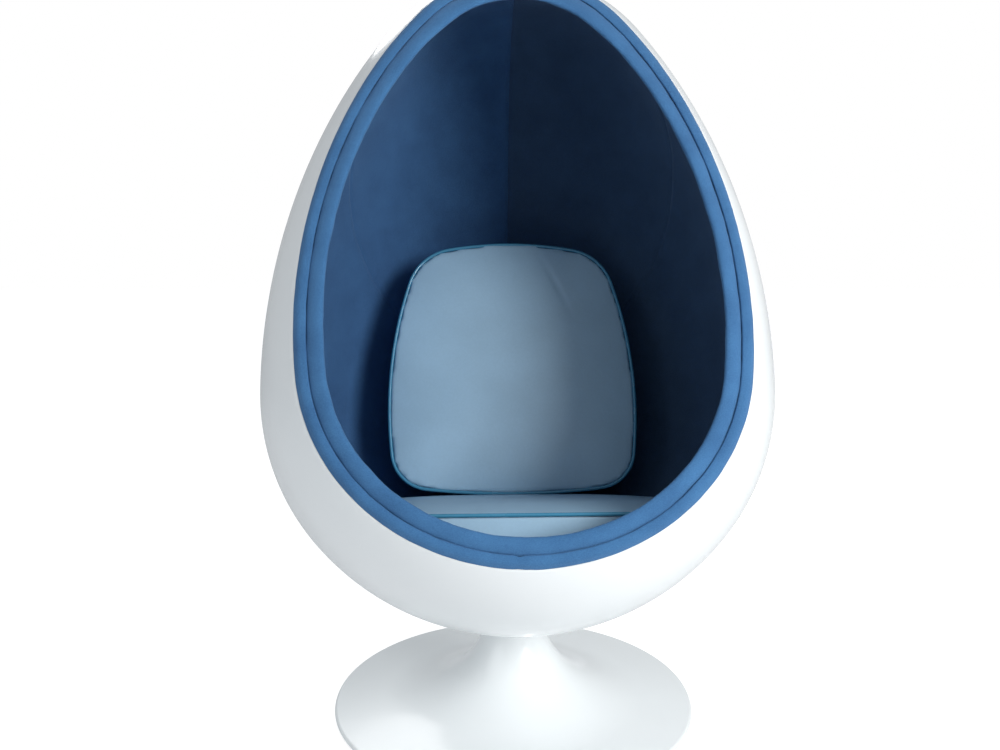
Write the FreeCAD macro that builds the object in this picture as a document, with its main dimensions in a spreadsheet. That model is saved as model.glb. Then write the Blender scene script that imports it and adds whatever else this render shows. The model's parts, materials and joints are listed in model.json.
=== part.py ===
import FreeCAD, Part
import Sketcher
import math
import os
import re

# Pod chair: an egg-shaped shell with a padded rim, felt lining and two loose
# cushions, on a trumpet pedestal that lets it swivel.
# Millimetres and degrees. The origin is on the floor under the swivel axis,
# +Z is up and the chair faces -Y.

# Driving sizes
SIZES = {
    # pod form: a solid of revolution about its own axis, leaning back
    "shell_radius": 425.0,          # widest radius, square to the pod's axis
    "tip_rise": 432.0,              # widest circle to the centre of the tip ball
    "tip_radius": 285.0,            # ball that closes the top
    "bowl_depth": 401.0,            # widest circle to the bottom of the bowl
    "low_flank_radius": 380.0,      # profile arc just below the widest circle
    "pod_tilt": 18.0,               # pod axis, leaning back from upright
    "pod_forward": 90.0,            # centre of the widest circle, ahead of the swivel axis
    "pod_height": 611.0,            # centre of the widest circle, above the floor
    "opening_reach": 272.0,         # pod axis to the opening, at the widest circle
    "opening_lean": 8.8,            # opening plane against the pod's axis
    # layers of the pod wall, from outside to inside
    "shell_wall": 5.0,
    "liner_thickness": 22.0,
    "lining_thickness": 2.5,
    "side_seam_reach": 354.0,       # pod centre to the slanted lining seam
    "side_seam_slant": 45.0,        # slope of that seam
    # padded rim round the opening
    "band_width": 11.5,
    "band_thickness": 9.0,
    "band_rounding": 3.5,
    "roll_gap": 0.5,                # seam valley between band and roll
    "roll_width": 18.5,
    "roll_proud": 7.0,              # roll ahead of the opening plane
    "roll_depth": 40.0,             # roll behind the opening plane
    "roll_front_rounding": 8.5,
    "roll_back_rounding": 4.0,
    "cover_thickness": 1.5,         # covers of the roll and of both cushions
    # seat base inside the bowl
    "base_felt_thickness": 2.0,
    "soft_gap": 0.3,                # loose cushions to what they rest on
    # seat cushion
    "seat_front": 365.0,            # front edge ahead of the swivel axis
    "seat_front_height": 490.0,     # front edge above the floor
    "seat_tilt": 15.0,
    "seat_thickness": 85.0,
    "seat_crown": 12.0,
    "crown_fullness": 4.0,          # higher is flatter on top and rounder at the edge
    "seat_centre": 230.0,           # front edge to the centre of the round back
    "seat_top_radius": 328.0,
    "seat_middle_radius": 298.0,
    "seat_bottom_radius": 250.0,
    "seat_corner_radius": 60.0,
    "seat_bottom_setback": 8.0,     # front boxing slopes back by this much
    # back cushion
    "back_front": 2.0,              # foot of its front panel behind the swivel axis
    "back_foot_height": 407.5,      # foot of its front panel above the floor
    "back_lean": 24.9,
    "back_height": 479.0,
    "back_thickness": 120.0,
    "back_front_crown": 22.0,
    "back_rear_crown": 10.0,
    "back_low_corner_x": 152.0,
    "back_low_corner_y": 79.0,
    "back_low_corner_radius": 70.0,
    "back_top_corner_x": 101.0,
    "back_top_corner_y": 376.0,
    "back_top_corner_radius": 94.0,
    "back_side_radius": 794.0,
    "back_side_tuck": 4.0,          # boxing drawn in at mid thickness
    "back_rear_tuck": 8.0,          # rear panel smaller than the front one
    "piping_radius": 3.0,
    "piping_seat": 0.1,             # piping to the boxing that it is sewn to
    "seat_room_spread": 9.0,        # back cushion cut level this far past the seat's edge
    # pedestal
    "disc_radius": 333.0,
    "disc_slope": 4.0,
    "disc_edge_radius": 5.0,
    "flare_low_radius": 240.0,
    "flare_high_radius": 158.0,
    "flare_turn": 55.4,             # where the two flare arcs meet
    "flare_top": 188.0,             # flare starts this high
    "neck_radius": 52.0,
    "neck_top": 192.0,
    "pedestal_wall": 5.0,
    "foot_pad_thickness": 3.0,
    "foot_pad_radius": 322.0,
    "plate_radius": 230.0,          # steel weight plate, let in above the foot pad
    "plate_thickness": 8.0,
    "plate_gap": 1.0,               # weight plate to the recess wall
    "plate_ledge": 30.0,            # width of the ledge that rests on the plate
    "plate_screw_radius": 2.5,
    "plate_screw_bite": 5.0,        # screw length inside the pedestal
    "plate_screws": 6.0,
    "countersink_ratio": 2.0,       # screw head to shank
    # column and swivel bearing
    "column_radius": 30.0,
    "column_bore": 22.0,
    "column_top": 180.0,
    "column_flange_radius": 75.0,
    "column_flange_thickness": 8.0,
    "column_bolt_circle": 55.0,
    "column_bolts": 4.0,
    "neck_ring_height": 16.0,
    "spindle_radius": 15.0,
    "bearing_clearance": 0.05,      # spindle to bush, radial
    "bush_flange": 3.0,
    "upper_bush_length": 30.0,
    "lower_bush_length": 24.0,
    "axial_play": 0.3,
    "thrust_thickness": 2.0,
    "thrust_radius": 29.0,
    "swivel_plate_radius": 45.0,
    "swivel_plate_thickness": 8.0,
    "spindle_foot": 37.0,           # lower end of the spindle above the floor
    "retainer_radius": 20.0,
    "retainer_thickness": 3.0,
    # bolts, M8 socket heads
    "bolt_radius": 4.0,
    "bolt_head_radius": 6.5,
    "bolt_head_height": 8.0,
    "bolt_socket": 3.4,             # hexagon socket, centre to corner
    "bolt_socket_depth": 4.5,
    "hole_clearance": 0.25,
    "retainer_bolt_bite": 20.0,
    # pod mounting
    "saddle_radius": 52.0,
    "pod_bolt_circle": 32.0,
    "pod_bolts": 4.0,
    "plate_bolt_bite": 6.0,         # pod bolts inside the swivel plate
    "block_radius": 75.0,
    "block_top": 246.0,
    "block_room": 1.0,              # foam and felt round the block
    "backing_plate_radius": 60.0,
    "backing_plate_thickness": 4.0,
    "washer_radius": 8.5,
    "washer_thickness": 1.6,
    "hardware_room": 3.0,           # foam kept clear of the bolts by this much
    # only long enough to pass through the pod
    "reach": 1500.0,
}

# Sizes worked out from the driving ones
DERIVED = {
    "high_flank_radius":
        "(shell_radius^2 + tip_rise^2 - tip_radius^2) / (2 * (shell_radius - tip_radius))",
    "flank_step": "shell_radius - low_flank_radius",
    "depth_step": "bowl_depth - low_flank_radius",
    "bowl_centre": "(flank_step^2 - depth_step^2) / (2 * depth_step)",
    "bowl_radius": "bowl_depth + bowl_centre",
    "liner_inset": "shell_wall + liner_thickness",
    "lining_inset": "liner_inset + lining_thickness",
    "roll_inset": "band_width + roll_gap",
    "roll_inner_inset": "roll_inset + roll_width",
    "opening_y": "-pod_forward - opening_reach * cos(pod_tilt)",
    "opening_z": "pod_height + opening_reach * sin(pod_tilt)",
    "opening_tilt": "pod_tilt + opening_lean",
    "plate_top": "foot_pad_thickness + plate_thickness",
    "recess_radius": "plate_radius + plate_gap",
    "ledge_radius": "recess_radius - plate_ledge",
    "flare_x": "neck_radius + flare_high_radius",
    "flare_join_x": "flare_x - flare_high_radius * cos(flare_turn)",
    "flare_join_z": "flare_top - flare_high_radius * sin(flare_turn)",
    "low_flare_x": "flare_join_x + flare_low_radius * cos(flare_turn)",
    "low_flare_z": "flare_join_z + flare_low_radius * sin(flare_turn)",
    "thrust_base": "column_top + bush_flange",
    "swivel_plate_base": "thrust_base + thrust_thickness",
    "swivel_plate_top": "swivel_plate_base + swivel_plate_thickness",
    "backing_plate_top": "block_top + backing_plate_thickness",
    "pod_bolt_seat": "backing_plate_top + washer_thickness",
    "bush_bore": "spindle_radius + bearing_clearance",
    "back_low_arc":
        "(back_low_corner_x^2 + back_low_corner_y^2 - back_low_corner_radius^2)"
        " / (2 * (back_low_corner_y - back_low_corner_radius))",
    "back_shoulder": "back_height - back_top_corner_y",
    "back_top_arc":
        "(back_top_corner_x^2 + back_shoulder^2 - back_top_corner_radius^2)"
        " / (2 * (back_shoulder - back_top_corner_radius))",
    "back_span_x": "back_top_corner_x - back_low_corner_x",
    "back_span_y": "back_top_corner_y - back_low_corner_y",
    "back_span": "sqrt(back_span_x^2 + back_span_y^2)",
    "back_low_reach": "back_side_radius - back_low_corner_radius",
    "back_top_reach": "back_side_radius - back_top_corner_radius",
    "back_side_run":
        "(back_low_reach^2 - back_top_reach^2 + back_span^2) / (2 * back_span)",
    "back_side_fall": "sqrt(back_low_reach^2 - back_side_run^2)",
    "back_side_x":
        "back_low_corner_x + (back_side_run * back_span_x - back_side_fall * back_span_y) / back_span",
    "back_side_y":
        "back_low_corner_y + (back_side_run * back_span_y + back_side_fall * back_span_x) / back_span",
}

# Frames: height and depth of the origin, and the tilt of +Z towards +Y
FLOOR = ("0", "0", "0")
POD = ("-pod_forward", "pod_height", "pod_tilt")
OPENING = ("opening_y", "opening_z", "opening_tilt")
SEAT = ("-seat_front", "seat_front_height", "seat_tilt")
BACK = ("back_front", "back_foot_height", "back_lean - 90")

doc = FreeCAD.newDocument("pod_chair")
sheet = doc.addObject("Spreadsheet::Sheet", "sizes")
nodes = []

# Two depths closer than this are the same
TOLERANCE = 0.01
# An expression can set the angle only of a placement that is already turned
TURNED = FreeCAD.Placement(FreeCAD.Vector(), FreeCAD.Rotation(FreeCAD.Vector(-1, 0, 0), 10))


def formula(text):
    """Name the sheet in front of each size in an expression."""
    return re.sub(r"[a-z]+(_[a-z]+)*", lambda m: in_sheet(m.group(0)), text)


def in_sheet(word):
    return "sizes." + word if word in SIZES or word in DERIVED else word


def value(text):
    """Work out an expression with the sheet's sizes."""
    result = sheet.evalExpression(formula(text))
    return float(getattr(result, "Value", result))


def bind(thing, prop, text):
    thing.setExpression(prop, formula(text))


def fill_sheet():
    row = 0
    for name, number in SIZES.items():
        row += 1
        sheet.set("A%d" % row, name)
        sheet.set("B%d" % row, str(number))
        sheet.setAlias("B%d" % row, name)
    doc.recompute()
    for name, text in DERIVED.items():
        row += 1
        sheet.set("A%d" % row, name)
        sheet.set("B%d" % row, "=" + text)
        sheet.setAlias("B%d" % row, name)
        doc.recompute()


def put(thing, frame, along="0", into="0", up="0"):
    """Place an object in a frame, moved along the frame's own axes."""
    depth, height, tilt = frame
    thing.Placement = TURNED
    bind(thing, "Placement.Base.x", along)
    bind(thing, "Placement.Base.y",
         "%s + (%s) * cos(%s) + (%s) * sin(%s)" % (depth, into, tilt, up, tilt))
    bind(thing, "Placement.Base.z",
         "%s - (%s) * sin(%s) + (%s) * cos(%s)" % (height, into, tilt, up, tilt))
    bind(thing, "Placement.Rotation.Angle", tilt)


def keep(thing, label):
    """List an object as a sub-part under its own name."""
    thing.Label = label
    nodes.append(thing)
    return thing


# Sketches


def new_body(name, frame=FLOOR):
    body = doc.addObject("PartDesign::Body", name)
    put(body, frame)
    return body


def new_sketch(body, name, role, lift="0"):
    """Attach a sketch to an origin plane of its own body, lifted off it."""
    sketch = body.newObject("Sketcher::SketchObject", name)
    plane = [f for f in body.Origin.OriginFeatures if f.Role == role][0]
    sketch.AttachmentSupport = (plane, [""])
    sketch.MapMode = "FlatFace"
    bind(sketch, "AttachmentOffset.Base.z", lift)
    return sketch


def arc_between(start, end, radius):
    """Arc under a half circle that turns left from start to end."""
    middle = (start + end) * 0.5
    chord = end - start
    left = FreeCAD.Vector(-chord.y, chord.x, 0)
    left.normalize()
    rise = math.sqrt(max(radius * radius - chord.Length ** 2 / 4, 0))
    centre = middle + left * rise
    first = math.atan2(start.y - centre.y, start.x - centre.x)
    last = math.atan2(end.y - centre.y, end.x - centre.x)
    circle = Part.Circle(centre, FreeCAD.Vector(0, 0, 1), radius)
    return Part.ArcOfCircle(circle, first, last)


def outline(sketch, corners):
    """Close a line through (x, y, bend) corners.

    The bend is the radius of the arc from that corner to the next: positive
    turns left, negative turns right and "" is a straight line.
    """
    points = [FreeCAD.Vector(value(x), value(y), 0) for x, y, bend in corners]
    count = len(corners)
    starts = []
    for i in range(count):
        bend = corners[i][2]
        here = points[i]
        there = points[(i + 1) % count]
        starts.append(2 if bend.startswith("-") else 1)
        if not bend:
            sketch.addGeometry(Part.LineSegment(here, there))
        elif bend.startswith("-"):
            sketch.addGeometry(arc_between(there, here, value(bend[1:])))
        else:
            sketch.addGeometry(arc_between(here, there, value(bend)))
    for i in range(count):
        after = (i + 1) % count
        sketch.addConstraint(Sketcher.Constraint(
            "Coincident", i, 3 - starts[i], after, starts[after]))
    for i in range(count):
        x, y, bend = corners[i]
        hold(sketch, "DistanceX", i, starts[i], x, points[i].x)
        hold(sketch, "DistanceY", i, starts[i], y, points[i].y)
        if bend:
            size = bend.lstrip("-")
            spot = sketch.addConstraint(Sketcher.Constraint("Radius", i, value(size)))
            bind(sketch, "Constraints[%d]" % spot, size)
    return sketch


def hold(sketch, kind, edge, end, text, number):
    """Fix one coordinate of a corner from the sketch's origin."""
    spot = sketch.addConstraint(Sketcher.Constraint(kind, -1, 1, edge, end, number))
    bind(sketch, "Constraints[%d]" % spot, text)


def circle_sketch(sketch, x, y, radius):
    centre = FreeCAD.Vector(value(x), value(y), 0)
    sketch.addGeometry(Part.Circle(centre, FreeCAD.Vector(0, 0, 1), value(radius)))
    hold(sketch, "DistanceX", 0, 3, x, centre.x)
    hold(sketch, "DistanceY", 0, 3, y, centre.y)
    spot = sketch.addConstraint(Sketcher.Constraint("Radius", 0, value(radius)))
    bind(sketch, "Constraints[%d]" % spot, radius)
    return sketch


def turned(name, corners, frame=FLOOR):
    """Body of revolution about its own Z axis, from an outline in XZ."""
    body = new_body(name, frame)
    sketch = new_sketch(body, name + "_profile", "XZ_Plane")
    outline(sketch, corners)
    spin = body.newObject("PartDesign::Revolution", name + "_turn")
    spin.Profile = sketch
    spin.ReferenceAxis = (sketch, ["V_Axis"])
    spin.Angle = 360
    body.Tip = spin
    return body


def tube(name, inner, outer, low, high):
    """Plain ring or disc about the swivel axis."""
    corners = [(inner, low, ""), (outer, low, ""), (outer, high, ""), (inner, high, "")]
    return turned(name, corners)


# Shapes put together from others


def boolean(kind, label, base, tool):
    result = doc.addObject(kind, label)
    result.Base = base
    result.Tool = tool
    return result


def cut(label, base, tool):
    return boolean("Part::Cut", label, base, tool)


def common(label, base, tool):
    return boolean("Part::Common", label, base, tool)


def group(label, things):
    bundle = doc.addObject("Part::Compound", label)
    bundle.Links = things
    return bundle


def slab(label, frame, into, up, along=("-reach", "reach")):
    """Block between two depths and two heights of a frame."""
    box = doc.addObject("Part::Box", label)
    bind(box, "Length", "(%s) - (%s)" % (along[1], along[0]))
    bind(box, "Width", "(%s) - (%s)" % (into[1], into[0]))
    bind(box, "Height", "(%s) - (%s)" % (up[1], up[0]))
    put(box, frame, along[0], into[0], up[0])
    return box


def rod(label, radius, low, high, x="0", y="0"):
    """Upright cylinder between two heights."""
    cylinder = doc.addObject("Part::Cylinder", label)
    bind(cylinder, "Radius", radius)
    bind(cylinder, "Height", "(%s) - (%s)" % (high, low))
    put(cylinder, FLOOR, x, y, low)
    return cylinder


def on_circle(index, count, circle, start="45"):
    """X and Y of one place on a bolt circle."""
    angle = "%s + %d * 360 / %s" % (start, index, count)
    return "(%s) * cos(%s)" % (circle, angle), "(%s) * sin(%s)" % (circle, angle)


def rods_on_circle(label, count, circle, radius, low, high):
    rods = []
    for i in range(int(round(value(count)))):
        x, y = on_circle(i, count, circle)
        rods.append(rod("%s_%d" % (label, i + 1), radius, low, high, x, y))
    return group(label, rods)


def rounded(label, thing, radius, picks):
    """Round the edges for which picks(edge) is true."""
    doc.recompute()
    fillet = doc.addObject("Part::Fillet", label)
    fillet.Base = thing
    size = value(radius)
    chosen = [i + 1 for i, edge in enumerate(thing.Shape.Edges) if picks(edge)]
    fillet.Edges = [(i, size, size) for i in chosen]
    return fillet


def depth_in(frame, point):
    """How far a point lies behind a frame's upright plane."""
    depth, height, tilt = [value(text) for text in frame]
    lean = math.radians(tilt)
    return (point.y - depth) * math.cos(lean) - (point.z - height) * math.sin(lean)


def lies_at(edge, frame, level):
    ends = [depth_in(frame, vertex.Point) for vertex in edge.Vertexes]
    middle = edge.valueAt((edge.FirstParameter + edge.LastParameter) / 2)
    ends.append(depth_in(frame, middle))
    return all(abs(end - level) < TOLERANCE for end in ends)


# Pod wall: every layer is the same egg profile, set in by its own amount


def egg_side(inset):
    """Corners of the egg profile from its foot to its tip, with their arcs."""
    low = "(low_flank_radius - (%s)) / (bowl_radius - low_flank_radius)" % inset
    high = "(high_flank_radius - (%s)) / (high_flank_radius - tip_radius)" % inset
    flank_x = "(high_flank_radius - shell_radius)"
    return [
        ("0", "(%s) - bowl_depth" % inset, "bowl_radius - (%s)" % inset),
        ("flank_step * (1 + %s)" % low, "0 - bowl_centre * %s" % low,
         "low_flank_radius - (%s)" % inset),
        ("shell_radius - (%s)" % inset, "0", "high_flank_radius - (%s)" % inset),
        ("%s * (%s - 1)" % (flank_x, high), "tip_rise * %s" % high,
         "tip_radius - (%s)" % inset),
        ("0", "tip_rise + tip_radius - (%s)" % inset, ""),
    ]


def backwards(corners):
    """The same corners in the other order, so that the arcs turn the other way."""
    turned_round = []
    for i in range(len(corners) - 1, -1, -1):
        bend = corners[i - 1][2] if i > 0 else ""
        turned_round.append((corners[i][0], corners[i][1], "-" + bend if bend else ""))
    return turned_round


def egg_wall(name, outer, inner):
    return turned(name, egg_side(outer) + backwards(egg_side(inner)), POD)


def egg_solid(name, inset):
    return turned(name, egg_side(inset), POD)


def bowl_solid(name, inset):
    """Lower half of the egg, up to the widest circle."""
    corners = egg_side(inset)[:3]
    corners[2] = (corners[2][0], corners[2][1], "")
    return turned(name, corners + [("0", "0", "")], POD)


def behind(label, wall, depth):
    """What a wall keeps when it is trimmed a depth behind the opening plane."""
    front = slab(label + "_trim", OPENING, ("-reach", depth), ("-reach", "reach"))
    return cut(label, wall, front)


def ring_slice(label, outer, inner, front, back):
    """Part of the wall between two depths at the opening."""
    wall = egg_wall(label + "_wall", outer, inner)
    layer = slab(label + "_layer", OPENING, (front, back), ("-reach", "reach"))
    return common(label, wall, layer)


def make_shell():
    holes = rods_on_circle("shell_holes", "pod_bolts", "pod_bolt_circle",
                           "bolt_radius + hole_clearance", "0", "block_top")
    wall = behind("shell_trimmed", egg_wall("shell_wall_form", "0", "shell_wall"),
                  "band_thickness")
    keep(cut("pod_shell_drilled", wall, holes), "pod_shell")


def make_liner():
    room = rod("liner_room", "block_radius + block_room", "0", "pod_height")
    wall = behind("liner_trimmed", egg_wall("liner_form", "shell_wall", "liner_inset"),
                  "roll_depth")
    keep(cut("liner_opened", wall, room), "foam_liner")


def make_lining():
    """Four felt panels that meet at the back seam and the slanted side seam."""
    room = rod("lining_room", "block_radius + block_room", "0", "pod_height")
    wall = behind("lining_trimmed", egg_wall("lining_form", "liner_inset", "lining_inset"),
                  "roll_depth")
    felt = cut("lining_felt", wall, room)
    seam = ("-pod_forward", "pod_height", "pod_tilt + side_seam_slant")
    halves = {"upper": ("side_seam_reach", "reach"), "lower": ("-reach", "side_seam_reach")}
    sides = {"left": ("-reach", "0"), "right": ("0", "reach")}
    for level, up in halves.items():
        for side, along in sides.items():
            name = "lining_%s_%s" % (level, side)
            block = slab(name + "_block", seam, ("-reach", "reach"), up, along)
            keep(common(name + "_cut", felt, block), name)


def make_rim():
    band = ring_slice("band_slice", "0", "band_width", "0", "band_thickness")
    keep(rounded("band_rounded", band, "band_rounding",
                 lambda edge: lies_at(edge, OPENING, 0)), "rim_edge_band")
    keep(ring_slice("carrier_slice", "shell_wall", "band_width",
                    "band_thickness", "roll_depth"), "rim_carrier")
    outer = roll_form("roll_outer", "0")
    inner = roll_form("roll_inner", "cover_thickness")
    keep(inner, "rim_roll_foam")
    keep(cut("roll_skin", outer, inner), "rim_roll_cover")


def roll_form(name, inset):
    """Padded roll, set in by a skin thickness, rounded most at the front."""
    front = "%s - roll_proud" % inset
    back = "roll_depth - (%s)" % inset
    piece = ring_slice(name + "_slice", "roll_inset + %s" % inset,
                       "roll_inner_inset - (%s)" % inset, front, back)
    nose = rounded(name + "_nose", piece, "roll_front_rounding - (%s)" % inset,
                   lambda edge: lies_at(edge, OPENING, value(front)))
    return rounded(name, nose, "roll_back_rounding - (%s)" % inset,
                   lambda edge: lies_at(edge, OPENING, value(back)))


def make_seat_base():
    """Foam that fills the bowl under the seat cushion, with felt on top."""
    felt_top = "-seat_thickness - soft_gap"
    foam_top = felt_top + " - base_felt_thickness"
    bowl = behind("bowl_trimmed", bowl_solid("bowl_form", "lining_inset"), "roll_depth")
    foam_block = slab("foam_block", SEAT, ("-reach", "reach"), ("-reach", foam_top))
    room = rod("hardware_room_rod", "block_radius + hardware_room", "0",
               "pod_bolt_seat + bolt_head_height + hardware_room")
    keep(cut("foam_relieved", common("foam_filled", bowl, foam_block), room), "seat_base_foam")
    felt_block = slab("felt_block", SEAT, ("-reach", "reach"), (foam_top, felt_top))
    keep(common("felt_layer", bowl, felt_block), "seat_base_felt")


# Cushions: closed forms lofted through outlines at several heights


def seat_outline(radius, setback, inset, scale):
    """Round back, straight front and rounded front corners."""
    reach = "((%s) - seat_corner_radius)" % radius
    front = "(seat_centre - seat_corner_radius - (%s))" % setback
    corner_x = "sqrt(%s^2 - %s^2)" % (reach, front)
    rest = "((%s) - (%s)) / %s" % (radius, inset, reach)
    near_y = "((%s) + (%s) - seat_centre)" % (setback, inset)
    k = "(%s)" % scale
    low = "seat_centre + %s * %s" % (near_y, k)
    side_x = "%s * %s * %s" % (corner_x, rest, k)
    side_y = "seat_centre - %s * %s * %s" % (front, rest, k)
    corner = "(seat_corner_radius - (%s)) * %s" % (inset, k)
    big = "((%s) - (%s)) * %s" % (radius, inset, k)
    return [
        ("0", low, ""),
        ("%s * %s" % (corner_x, k), low, corner),
        (side_x, side_y, big),
        ("0", "seat_centre + %s" % big, big),
        ("0 - %s" % side_x, side_y, corner),
        ("0 - %s * %s" % (corner_x, k), low, ""),
    ]


def back_outline(inset, scale):
    """Rounded trapezoid from tangent arcs, wider below."""
    k = "(%s)" % scale
    middle = "back_height / 2"
    low = "(back_low_arc - (%s)) / (back_low_arc - back_low_corner_radius)" % inset
    foot = "(back_side_radius - (%s)) / back_low_reach" % inset
    head = "(back_side_radius - (%s)) / back_top_reach" % inset
    top = "(back_top_arc - (%s)) / (back_top_arc - back_top_corner_radius)" % inset
    top_centre = "(back_height - back_top_arc)"
    right = [
        ("back_low_corner_x * %s" % low,
         "back_low_arc + (back_low_corner_y - back_low_arc) * %s" % low,
         "back_low_corner_radius"),
        ("back_side_x + (back_low_corner_x - back_side_x) * %s" % foot,
         "back_side_y + (back_low_corner_y - back_side_y) * %s" % foot,
         "back_side_radius"),
        ("back_side_x + (back_top_corner_x - back_side_x) * %s" % head,
         "back_side_y + (back_top_corner_y - back_side_y) * %s" % head,
         "back_top_corner_radius"),
        ("back_top_corner_x * %s" % top,
         "%s + (back_top_corner_y - %s) * %s" % (top_centre, top_centre, top),
         "back_top_arc"),
    ]
    left_bends = ["back_top_corner_radius", "back_side_radius",
                  "back_low_corner_radius", "back_low_arc"]
    corners = [("0", inset, "back_low_arc")] + right
    corners.append(("0", "back_height - (%s)" % inset, "back_top_arc"))
    for (x, y, bend), left_bend in zip(reversed(right), left_bends):
        corners.append(("0 - (%s)" % x, y, left_bend))
    sized = []
    for x, y, bend in corners:
        sized.append(("(%s) * %s" % (x, k),
                      "%s + ((%s) - %s) * %s" % (middle, y, middle, k),
                      "((%s) - (%s)) * %s" % (bend, inset, k)))
    return sized


# Outlines that a crown is lofted through, as shares of the full outline
CROWN_OUTLINES = ("1", "0.92", "0.78", "0.6", "0.4", "0.2")


def crown(outlines, height):
    """Outlines at their heights: a crown is steep at its edge and flat on top."""
    return [(outlines(share), "%s * (1 - %s^crown_fullness)" % (height, share))
            for share in CROWN_OUTLINES]


def raised(sections, lift):
    return [(corners, "(%s) + (%s)" % (height, lift)) for corners, height in sections]


def loft(body, name, sections, straight):
    """Join outlines, each given with its height in the body."""
    sketches = []
    for i, (corners, height) in enumerate(sections):
        sketch = new_sketch(body, "%s_%d" % (name, i + 1), "XY_Plane", height)
        sketches.append(outline(sketch, corners))
    doc.recompute()
    skin = body.newObject("PartDesign::AdditiveLoft", name)
    skin.Profile = sketches[0]
    skin.Sections = sketches[1:]
    skin.Ruled = straight
    body.Tip = skin


def seat_form(name, inset, spread="0"):
    """Seat cushion set in on every side; spread only widens its outline."""
    body = new_body(name, SEAT)
    edge = "(%s) - (%s)" % (inset, spread)
    levels = (("seat_bottom_radius", "seat_bottom_setback", "(%s) - seat_thickness" % inset),
              ("seat_middle_radius", "seat_bottom_setback / 2", "0 - seat_thickness / 2"),
              ("seat_top_radius", "0", "0 - (%s)" % inset))
    sides = [(seat_outline(radius, setback, edge, "1"), height)
             for radius, setback, height in levels]
    loft(body, name + "_side", sides, False)
    top = crown(lambda share: seat_outline("seat_top_radius", "0", edge, share), "seat_crown")
    loft(body, name + "_crown", raised(top, "0 - (%s)" % inset), False)
    return body


def back_form(name, inset):
    body = new_body(name, BACK)
    rear_edge = "back_rear_tuck + (%s)" % inset
    rear_height = "(%s) - back_thickness" % inset
    side_edge = "back_side_tuck + back_rear_tuck / 2 + (%s)" % inset
    sides = [(back_outline(rear_edge, "1"), rear_height),
             (back_outline(side_edge, "1"), "0 - back_thickness / 2"),
             (back_outline(inset, "1"), "0 - (%s)" % inset)]
    loft(body, name + "_side", sides, False)
    front = crown(lambda share: back_outline(inset, share), "back_front_crown")
    loft(body, name + "_front", raised(front, "0 - (%s)" % inset), False)
    rear = crown(lambda share: back_outline(rear_edge, share), "0 - back_rear_crown")
    loft(body, name + "_rear", raised(rear, rear_height), False)
    return body


def piping(name, frame, corners, start, height):
    """Round cord laid along an outline."""
    body = new_body(name, frame)
    path = outline(new_sketch(body, name + "_path", "XY_Plane", height), corners)
    ring = new_sketch(body, name + "_section", "YZ_Plane")
    circle_sketch(ring, start, height, "piping_radius")
    doc.recompute()
    cord = body.newObject("PartDesign::AdditivePipe", name + "_cord")
    cord.Profile = ring
    cord.Spine = (path, ["Edge%d" % (i + 1) for i in range(len(corners))])
    cord.Transition = "Transformed"
    body.Tip = cord
    return body


def panels(frame, skin, names, levels):
    """Part a hollow cover into its sewn panels at the piping planes."""
    for name, up in zip(names, levels):
        block = slab(name + "_block", frame, ("-reach", "reach"), up)
        keep(common(name + "_cut", skin, block), name)


def make_seat_cushion():
    outer = seat_form("seat_outer", "0")
    foam = seat_form("seat_inner", "cover_thickness")
    keep(foam, "seat_foam")
    skin = cut("seat_skin", outer, foam)
    panels(SEAT, skin, ("seat_cover_top", "seat_cover_border", "seat_cover_base"),
           (("0", "reach"), ("cover_thickness - seat_thickness", "0"),
            ("-reach", "cover_thickness - seat_thickness")))
    out = "0 - piping_radius - piping_seat"
    keep(piping("seat_piping_form", SEAT, seat_outline("seat_top_radius", "0", out, "1"),
                out, "0 - piping_radius"), "seat_piping")


def make_back_cushion():
    """Back cushion, flat below where it stands on the seat cushion."""
    room = seat_form("seat_room", "0 - soft_gap", "seat_room_spread")
    room_within = seat_form("seat_room_within", "0 - soft_gap - cover_thickness",
                            "seat_room_spread")
    outer = cut("back_outer_set", back_form("back_outer", "0"), room)
    foam = cut("back_inner_set", back_form("back_inner", "cover_thickness"), room_within)
    keep(foam, "back_foam")
    skin = cut("back_skin", outer, foam)
    panels(BACK, skin, ("back_cover_front", "back_cover_border", "back_cover_rear"),
           (("0", "reach"), ("0 - back_thickness", "0"), ("-reach", "0 - back_thickness")))
    out = "0 - piping_radius - piping_seat"
    cord = piping("back_piping_form", BACK, back_outline(out, "1"), out, "0 - piping_radius")
    keep(cut("back_piping_set", cord, room), "back_piping")


# Pedestal and swivel


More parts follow.
